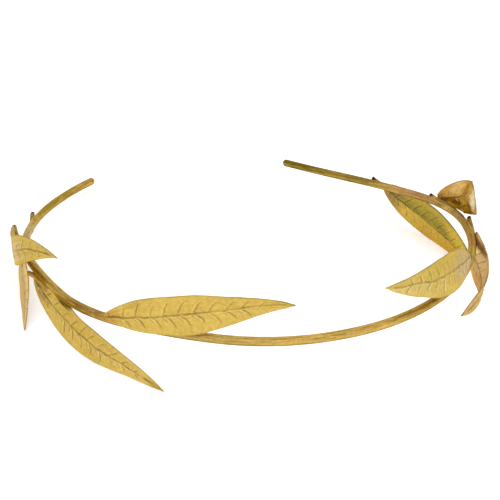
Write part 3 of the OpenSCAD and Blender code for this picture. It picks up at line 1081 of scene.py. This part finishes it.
@dataclass
class Rod:
    """The round rod, bent to an open ring, slightly uneven from the hammer, with rounded ends."""

    diameter: float = ROD_D
    facets: int = 28
    per_arm: int = 260
    rod_sides: int = 10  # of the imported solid's rod
    end_rows: tuple[float, ...] = (0, 40, 70)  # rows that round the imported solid's ends, in degrees
    rounding: tuple[float, ...] = (20.0, 40.0, 60.0, 78.0)  # the same for the ends drawn here
    stout: float = 1.03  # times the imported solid's radius
    flats: Ripple = Ripple(0.02, 9.0)
    dents: Ripple = Ripple(0.01, 6.0)
    brown_share: float = 0.75
    # How strongly the rod's underside takes its painted shade
    painted_shade_share: float = 0.8

    def middle(self) -> np.ndarray:
        """Middle line from the end of the left arm round the front to the end of the right arm.

        Returns:
            Its points, evenly spaced on each arm.
        """
        shares = np.linspace(0.0, 1.0, self.per_arm + 1)
        left = self.smooth(ARMS[Side.LEFT], shares)
        right = self.smooth(ARMS[Side.RIGHT], shares)
        return np.concatenate([left[::-1], right[1:]])

    def smooth(self, arm: Arm, shares: np.ndarray) -> np.ndarray:
        """Middle line of one arm, turning evenly within each small step.

        Args:
            arm: The arm.
            shares: Shares of its length.

        Returns:
            The points.
        """
        path = arm.path()
        headings = arm.headings()
        stations = np.linspace(0.0, 1.0, len(path))
        step = arm.length / (len(path) - 1)
        line = read_line(shares, stations, path)
        place = shares * (len(path) - 1)
        index = np.minimum(place.astype(int), len(path) - 2)
        part = place - index
        turn = radians(headings[index + 1] - headings[index])
        bow = step * turn / 2 * part * (1 - part)
        halfway = (headings[index] + headings[index + 1]) / 2
        out = np.array([arm.out(turned) for turned in halfway])
        return line + bow[:, None] * out

    def ring(self, arm: Arm, turned: float) -> np.ndarray:
        """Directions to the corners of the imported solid's rod, where the arm has turned so far."""
        angles = radians(360 * (np.arange(self.rod_sides) + 0.5) / self.rod_sides)
        return np.cos(angles)[:, None] * arm.out(turned) + np.sin(angles)[:, None] * UP

    def rest_points(self) -> np.ndarray:
        """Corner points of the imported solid's rod, for the wreath's box.

        Returns:
            The points of every ring, the rounded ends' too.
        """
        radius = self.diameter / 2
        points = []
        for arm in ARMS.values():
            path, headings = arm.path(), arm.headings()
            for point, turned in zip(path[:-1], headings[:-1]):
                points.append(point + radius * self.ring(arm, turned))
            for end in self.end_rows:
                middle = path[-1] + radius * math.sin(radians(end)) * arm.ahead(headings[-1])
                points.append(middle + radius * math.cos(radians(end)) * self.ring(arm, headings[-1]))
        return np.concatenate(points)

    def build(self, stance: "Stance") -> bpy.types.Object:
        """Makes the rod's mesh.

        Args:
            stance: Turn and place of the resting wreath.

        Returns:
            The rod's object.
        """
        line = self.middle()
        radius = self.diameter / 2
        lengths = run_lengths(line)
        start, end = unit(line[0] - line[1]), unit(line[-1] - line[-2])
        rounding = radians(np.array(self.rounding))
        head = [line[0] + radius * math.sin(a) * start for a in rounding[::-1]]
        tail = [line[-1] + radius * math.sin(a) * end for a in rounding]
        full = np.concatenate([head, line, tail])
        along = np.concatenate([np.zeros(len(head)), lengths, np.full(len(tail), lengths[-1])])
        angles = np.arange(self.facets) * 2 * math.pi / self.facets
        flats = self.flats.at(along[:, None] + 140 * np.sin(angles)[None, :], 11)
        dents = self.dents.at(along[:, None] * 3 + 90 * np.cos(angles)[None, :], 12)
        uneven = radius * (self.stout + flats + dents)
        caps = np.ones(len(full))
        caps[: len(head)] = np.cos(rounding[::-1])
        caps[-len(tail):] = np.cos(rounding)
        points, around = Rings(full, uneven * caps[:, None], self.facets).points()
        skin = Skin(points, len(full), self.facets)
        run = np.repeat(along, self.facets)
        return skin.build("rod", stance, {
            "along": run,
            "across": around,
            "dirt": np.zeros(len(run)),
            "paint": self.paint(run, around),
        })

    def paint(self, along: np.ndarray, around: np.ndarray) -> np.ndarray:
        """Colours the rod: gold, brown along its length, stains, and painted shade on its underside.

        Args:
            along: Distances from the left arm's end.
            around: Angles round the rod, in radians, 0 outside and a quarter turn on top.

        Returns:
            Linear colours, one row for each point.
        """
        left, right = ARMS[Side.LEFT].length, ARMS[Side.RIGHT].length
        from_front = along - left
        place = np.where(from_front < 0, from_front / left, from_front / right)
        angle = (around / math.pi + 1) % 2 - 1
        ragged = smooth_noise(along + 30 * np.sin(around), 31, 4.0)
        brown = smooth_noise(along / 5 + 40 * np.cos(around), 32, 2.5) + 0.5 * smooth_noise(along, 33, 6.0)
        colour = blend(rgb(ROD_GOLD), rgb(ROD_BROWN), self.brown_share * step_up(brown, 0.1, 0.9))
        for stain in ROD_STAINS:
            colour = blend(colour, rgb(stain.colour), stain.weight(place, angle, ragged))
        # Painted shade: the rod darker on its underside
        below = step_up(-np.sin(around) + 0.15 * ragged, 0.25, 0.85)
        return blend(colour, rgb(ROD_PAINTED_SHADE), self.painted_shade_share * below)


@dataclass
class Stance:
    """The turn and the shift that stand the flat-drawn wreath on the tips of its resting leaves."""

    rounds: int = 5
    turn: np.ndarray = field(default_factory=lambda: np.eye(3))
    origin: np.ndarray = field(default_factory=lambda: np.zeros(3))
    box: np.ndarray = field(default_factory=lambda: np.zeros((2, 3)))

    def settle(self, rod: Rod, leaves: list[Leaf]) -> None:
        """Finds the plane under the three resting leaves and the origin below the wreath's middle.

        Args:
            rod: The rod.
            leaves: All the leaves, three of them resting.
        """
        sets = [leaf.rest_points() for leaf in leaves if leaf.plan.rests]
        down = -UP
        for _ in range(self.rounds):
            feet = [points[np.argmax(points @ down)] for points in sets]
            down = unit(np.cross(feet[1] - feet[0], feet[2] - feet[0]))
            down = down if down[2] < 0 else -down
        across = unit(np.cross([0.0, 1.0, 0.0], -down))
        self.turn = np.array([across, np.cross(-down, across), -down])
        every = np.concatenate([rod.rest_points()] + [leaf.rest_points() for leaf in leaves])
        stood = every @ self.turn.T
        low, high = stood.min(axis=0), stood.max(axis=0)
        self.origin = np.array([(low[0] + high[0]) / 2, (low[1] + high[1]) / 2, low[2]])
        self.box = np.array([low, high]) - self.origin

    def place(self, points: np.ndarray) -> np.ndarray:
        """Moves flat-drawn points to where the resting wreath has them."""
        return np.asarray(points) @ self.turn.T - self.origin

    def within(self, points: np.ndarray) -> np.ndarray:
        """Moves points as place does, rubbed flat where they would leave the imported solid's box."""
        return np.clip(self.place(points), self.box[0], self.box[1])

    def heading(self, direction: np.ndarray) -> np.ndarray:
        """Turns a flat-drawn direction as the wreath is turned."""
        return self.turn @ np.asarray(direction)


def add_node(tree: bpy.types.NodeTree, kind: str, settings: dict | None = None,
             **inputs: object) -> bpy.types.Node:
    """Adds a node with its settings and its values or links.

    Args:
        tree: The material's node tree.
        kind: The node's type.
        settings: Properties of the node.
        inputs: Values or output sockets, by input name with spaces as underscores, or in_N by number.

    Returns:
        The node.
    """
    node = tree.nodes.new(kind)
    for name, value in (settings or {}).items():
        setattr(node, name, value)
    for name, value in inputs.items():
        key = int(name[3:]) if name.startswith("in_") else name.replace("_", " ")
        if isinstance(value, bpy.types.NodeSocket):
            tree.links.new(value, node.inputs[key])
        else:
            node.inputs[key].default_value = value
    return node


@dataclass(frozen=True)
class WornGilding:
    """Gilded brass sheet or rod, matt from pickling.

    The gold is satin, not mirror-like: highlights are broad and soft. The mesh carries the colour of its
    gold, tarnish and dirt, with highlights and shade painted in, and the material adds their mottling, grain
    and drawn streaks.
    """

    name: str
    # Real grain and flecks are finer, but these are drawn as coarse as they need to show
    grain_mm: float = 0.4
    fleck_mm: float = 0.9
    cloud_mm: float = 9.0
    fleck_shade: tuple[float, float] = (0.84, 1.08)
    cloud_shade: tuple[float, float] = (0.93, 1.05)
    noise_span: tuple[float, float] = (0.3, 0.7)
    roughness: float = 0.42  # where the grain is at its middle
    grain_rough: float = 0.2
    dirt_rough: float = 0.25
    grain_high: float = 0.3
    bump: float = 0.35
    bump_mm: float = 0.12
    # Streaks about 0.4 mm wide and 4.4 mm long: real ones are finer, but these still show
    streaked: bool = False
    streak_scale: float = 3.2  # streaks to one radius of the rod
    streak_mm: float = 14.0  # length of rod that counts as one radius
    streak_span: tuple[float, float] = (0.35, 0.68)
    streak_shade: tuple[float, float] = (1.2, 0.62)
    streak_high: float = 0.7

    def maths(self, tree: bpy.types.NodeTree, operation: str, *values: object) -> object:
        """Works out one number from others and gives its socket."""
        inputs = {f"in_{index}": value for index, value in enumerate(values)}
        return add_node(tree, "ShaderNodeMath", {"operation": operation}, **inputs).outputs[0]

    def mark(self, tree: bpy.types.NodeTree, attribute: str, output: str = "Fac") -> object:
        """Reads one of the numbers or colours kept on the mesh."""
        return add_node(tree, "ShaderNodeAttribute", {"attribute_name": attribute}).outputs[output]

    def shaded(self, tree: bpy.types.NodeTree, colour: object, value: object,
               span: tuple[float, float], shade: tuple[float, float]) -> object:
        """Multiplies a colour's brightness by a shade that a value within a span picks.

        Args:
            tree: The material's node tree.
            colour: The colour's socket.
            value: The value's socket.
            span: Values that give the first and the last shade.
            shade: The two shades.

        Returns:
            The socket of the shaded colour.
        """
        spread = add_node(tree, "ShaderNodeMapRange", {"interpolation_type": "SMOOTHSTEP"}, Value=value,
                          From_Min=span[0], From_Max=span[1], To_Min=shade[0], To_Max=shade[1])
        scale = add_node(tree, "ShaderNodeVectorMath", {"operation": "SCALE"}, in_0=colour,
                         Scale=spread.outputs[0])
        return scale.outputs[0]

    def noise(self, tree: bpy.types.NodeTree, size_mm: float, detail: float, where: object) -> object:
        """Gives noise whose lumps have a real size.

        Args:
            tree: The material's node tree.
            size_mm: About the size of a lump.
            detail: How many finer layers it has.
            where: The socket with the place in the piece.

        Returns:
            The noise's socket.
        """
        node = add_node(tree, "ShaderNodeTexNoise", None, Vector=where, Scale=1 / (size_mm * MM),
                        Detail=detail, Roughness=0.6)
        return node.outputs["Fac"]

    def drawn(self, tree: bpy.types.NodeTree) -> object:
        """Gives noise that is stretched along the rod, as the draw plate leaves it.

        Args:
            tree: The material's node tree.

        Returns:
            The noise's socket.
        """
        across = self.mark(tree, "across")
        lay = add_node(tree, "ShaderNodeCombineXYZ", None,
                       X=self.maths(tree, "DIVIDE", self.mark(tree, "along"), self.streak_mm),
                       Y=self.maths(tree, "SINE", across),
                       Z=self.maths(tree, "COSINE", across))
        node = add_node(tree, "ShaderNodeTexNoise", None, Vector=lay.outputs[0],
                        Scale=self.streak_scale, Detail=8.0, Roughness=0.7)
        return node.outputs["Fac"]

    def material(self) -> bpy.types.Material:
        """Builds the material.

        Returns:
            The material, ready for a piece.
        """
        material = bpy.data.materials.new(self.name)
        material.use_nodes = True
        tree = material.node_tree
        shader = tree.nodes["Principled BSDF"]
        where = add_node(tree, "ShaderNodeTexCoord").outputs["Object"]
        grain = self.noise(tree, self.grain_mm, 6.0, where)
        fleck = self.noise(tree, self.fleck_mm, 5.0, where)
        cloud = self.noise(tree, self.cloud_mm, 3.0, where)
        colour = self.mark(tree, "paint", "Color")
        colour = self.shaded(tree, colour, fleck, self.noise_span, self.fleck_shade)
        colour = self.shaded(tree, colour, cloud, self.noise_span, self.cloud_shade)
        height = self.maths(tree, "MULTIPLY", grain, self.grain_high)
        if self.streaked:
            drawn = self.drawn(tree)
            colour = self.shaded(tree, colour, drawn, self.streak_span, self.streak_shade)
            height = self.maths(tree, "ADD", height, self.maths(tree, "MULTIPLY", drawn, self.streak_high))
        rough = self.maths(tree, "MULTIPLY", grain, self.grain_rough)
        rough = self.maths(tree, "ADD", rough, self.roughness - self.grain_rough / 2)
        dirty = self.maths(tree, "MULTIPLY", self.mark(tree, "dirt"), self.dirt_rough)
        rough = self.maths(tree, "ADD", rough, dirty)
        bump = add_node(tree, "ShaderNodeBump", None, Height=height, Strength=self.bump,
                        Distance=self.bump_mm * MM)
        tree.links.new(colour, shader.inputs["Base Color"])
        tree.links.new(rough, shader.inputs["Roughness"])
        tree.links.new(bump.outputs[0], shader.inputs["Normal"])
        shader.inputs["Metallic"].default_value = 1.0
        shader.inputs["Specular Tint"].default_value = linear(EDGE_GOLD)
        return material


@dataclass(frozen=True)
class WhitePaper:
    """Matt white paper. It glows a little, so that the wreath's shadow on it stays faint."""

    name: str = "white_paper"
    colour: str = "#FFFFFF"
    roughness: float = 0.9
    gloss: float = 0.1
    glow: float = 0.2

    def material(self) -> bpy.types.Material:
        """Builds the material.

        Returns:
            The material, ready for the floor.
        """
        material = bpy.data.materials.new(self.name)
        material.use_nodes = True
        inputs = material.node_tree.nodes["Principled BSDF"].inputs
        inputs["Base Color"].default_value = linear(self.colour)
        inputs["Roughness"].default_value = self.roughness
        inputs["Specular IOR Level"].default_value = self.gloss
        inputs["Emission Color"].default_value = linear(self.colour)
        inputs["Emission Strength"].default_value = self.glow
        return material


@dataclass(frozen=True)
class Panel:
    """A soft square light: its place and its side in metres, and its power in watts."""

    name: str
    place: tuple[float, float, float]
    size: float
    power: float

    def hang(self) -> None:
        """Adds the light to the scene, turned to the wreath."""
        data = bpy.data.lights.new(self.name, "AREA")
        data.size = self.size
        data.energy = self.power
        light = put_in_scene(self.name, data)
        light.location = self.place
        light.rotation_euler = (-Vector(self.place)).to_track_quat("-Z", "Y").to_euler()


@dataclass
class Studio:
    """A pale floor, soft light and the camera at the photo's angle."""

    camera_at: tuple[float, float, float] = (-121.0, -330.9, 161.1)
    looks_at: tuple[float, float, float] = (1.7, 70.5, 0.0)
    focal_length: float = 100.8
    sensor: float = 36.0
    floor_half: float = 3.0  # half the floor's side, in metres
    sky: float = 0.88  # strength of the white light from all sides
    panels: tuple[Panel, ...] = (
        Panel("key", (-0.5, -0.5, 0.9), size=1.4, power=3.8),
        Panel("fill", (0.8, -0.6, 0.6), size=1.4, power=1.5),
        Panel("top", (0.1, 0.5, 1.0), size=1.6, power=2.0),
    )

    def floor(self) -> bpy.types.Object:
        """Makes the plain floor that the wreath rests on.

        Returns:
            The floor's object.
        """
        half = self.floor_half
        corners = [(-half, -half, 0), (half, -half, 0), (half, half, 0), (-half, half, 0)]
        mesh = bpy.data.meshes.new("floor")
        mesh.from_pydata(corners, [], [(0, 1, 2, 3)])
        mesh.materials.append(WhitePaper().material())
        return put_in_scene("floor", mesh)

    def camera(self, stance: Stance) -> None:
        """Adds the camera.

        Args:
            stance: Turn and place of the resting wreath.
        """
        data = bpy.data.cameras.new("camera")
        data.lens = self.focal_length
        data.sensor_width = self.sensor
        camera = put_in_scene("camera", data)
        place = stance.place(np.array([self.camera_at]))[0] * MM
        aim = stance.place(np.array([self.looks_at]))[0] * MM
        back = unit(place - aim)
        right = unit(np.cross(stance.heading(UP), back))
        above = np.cross(back, right)
        camera.matrix_world = Matrix([
            (right[0], above[0], back[0], place[0]),
            (right[1], above[1], back[1], place[1]),
            (right[2], above[2], back[2], place[2]),
            (0, 0, 0, 1),
        ])
        bpy.context.scene.camera = camera

    def build(self, stance: Stance) -> None:
        """Sets up the floor, the lights, the surroundings and the camera.

        Args:
            stance: Turn and place of the resting wreath.
        """
        self.floor()
        for panel in self.panels:
            panel.hang()
        world = bpy.data.worlds.new("studio")
        world.use_nodes = True
        background = world.node_tree.nodes["Background"]
        background.inputs["Color"].default_value = linear("#FFFFFF")
        background.inputs["Strength"].default_value = self.sky
        bpy.context.scene.world = world
        bpy.context.scene.view_settings.view_transform = "Standard"
        self.camera(stance)


@dataclass
class Wreath:
    """The whole wreath: the rod, and each leaf with its stem."""

    rod: Rod = field(default_factory=Rod)
    leaves: list[Leaf] = field(default_factory=lambda: [Leaf(plan) for plan in LEAVES])

    def dress(self, piece: bpy.types.Object, finish: bpy.types.Material) -> None:
        """Gives a piece its finish and its place in the frame.

        Args:
            piece: The piece.
            finish: Its finish.
        """
        piece.data.materials.append(finish)
        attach(piece, BODY)
        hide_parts(NODE)
        LOG.info("%s: %d faces", piece.name, len(piece.data.polygons))

    def build(self, stance: Stance) -> None:
        """Builds and dresses every piece.

        Args:
            stance: Turn and place of the resting wreath.
        """
        # Drawn wire: fine streaks along the rod break its highlight up
        wire = WornGilding("gilded_drawn_rod", roughness=0.46, streaked=True).material()
        # Chased sheet: the smoothest gold, with a broad soft sheen over each half of a leaf
        sheet = WornGilding("gilded_chased_sheet").material()
        # Cut twigs: the same streaks, duller, as solder and dirt cling to them
        twig = WornGilding("gilded_cut_twig", roughness=0.5, streaked=True).material()
        self.dress(self.rod.build(stance), wire)
        for leaf in self.leaves:
            self.dress(leaf.build(stance), sheet)
            self.dress(Stem(leaf).build(stance), twig)


def main() -> None:
    """Builds the wreath, then the studio round it."""
    logging.basicConfig(level=logging.INFO, format="%(name)s: %(message)s")
    wreath = Wreath()
    stance = Stance()
    stance.settle(wreath.rod, wreath.leaves)
    LOG.info("origin %s", np.round(stance.origin, 3).tolist())
    wreath.build(stance)
    Studio().build(stance)


if __name__ == "__main__":
    main()
